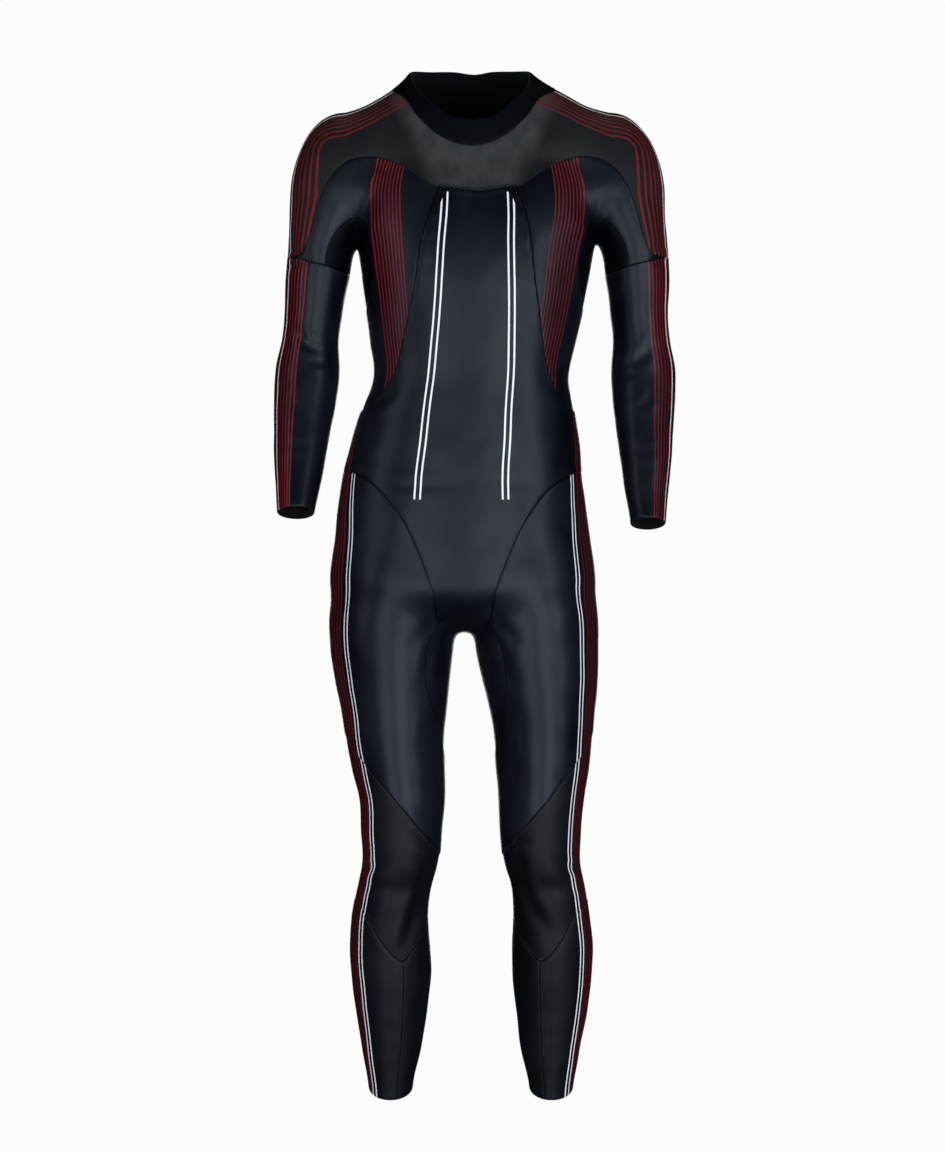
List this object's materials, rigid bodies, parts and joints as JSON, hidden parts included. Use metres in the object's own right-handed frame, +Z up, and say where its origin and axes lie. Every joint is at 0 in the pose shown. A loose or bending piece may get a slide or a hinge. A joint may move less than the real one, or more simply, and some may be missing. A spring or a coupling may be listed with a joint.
{
  "type": "wetsuit",
  "caption": "Full-length triathlon wetsuit of glossy black foam rubber, long-sleeved, open and hollow as when worn, with a matte shoulder yoke, a smooth collar and a zip down the back.",
  "frame": {"origin": "between the wearer's shoulders, on the body's middle line, where the wearer carries the suit", "axes": "+Z up from the legs to the neck, +X towards the wearer's left, -Y towards the front"},
  "size_m": [0.5592, 0.2548, 1.4425],
  "materials": {
    "glossy_rubber": "smooth, glossy skin on foam rubber",
    "matte_rubber": "matte, fabric-faced foam rubber",
    "collar_rubber": "smooth, soft sheen",
    "zip_tape": "woven tape",
    "zip_teeth": "moulded coil",
    "zip_metal": "dark coated metal"
  },
  "bodies": {
    "suit": {"collar": "collar_rubber", "yoke": "matte_rubber", "zip_tape": "zip_tape", "front_body": "glossy_rubber", "gusset": "glossy_rubber", "underarm_L": "matte_rubber", "underarm_R": "matte_rubber", "flank_L": "glossy_rubber", "flank_R": "glossy_rubber", "sleeve_front_L": "glossy_rubber", "sleeve_front_R": "glossy_rubber", "sleeve_back_L": "glossy_rubber", "sleeve_back_R": "glossy_rubber", "thigh_L": "glossy_rubber", "thigh_R": "glossy_rubber", "knee_L": "glossy_rubber", "knee_R": "glossy_rubber", "shin_outer_L": "glossy_rubber", "shin_outer_R": "glossy_rubber", "shin_inner_L": "glossy_rubber", "shin_inner_R": "glossy_rubber", "back_L": "glossy_rubber", "back_R": "glossy_rubber", "seat_L": "glossy_rubber", "seat_R": "glossy_rubber", "calf_L": "glossy_rubber", "calf_R": "glossy_rubber", "zip_chain": "zip_teeth", "zip_slider": "zip_metal"},
    "pull": {"zip_pull": "zip_metal"}
  },
  "joints": [
    {"name": "zip_pull_hinge", "type": "hinge", "parent": "suit", "child": "pull", "pos_m": [0.007, 0.09829, 0.05205], "axis": [1, 0, 0], "range_deg": [0, 165]}
  ]
}
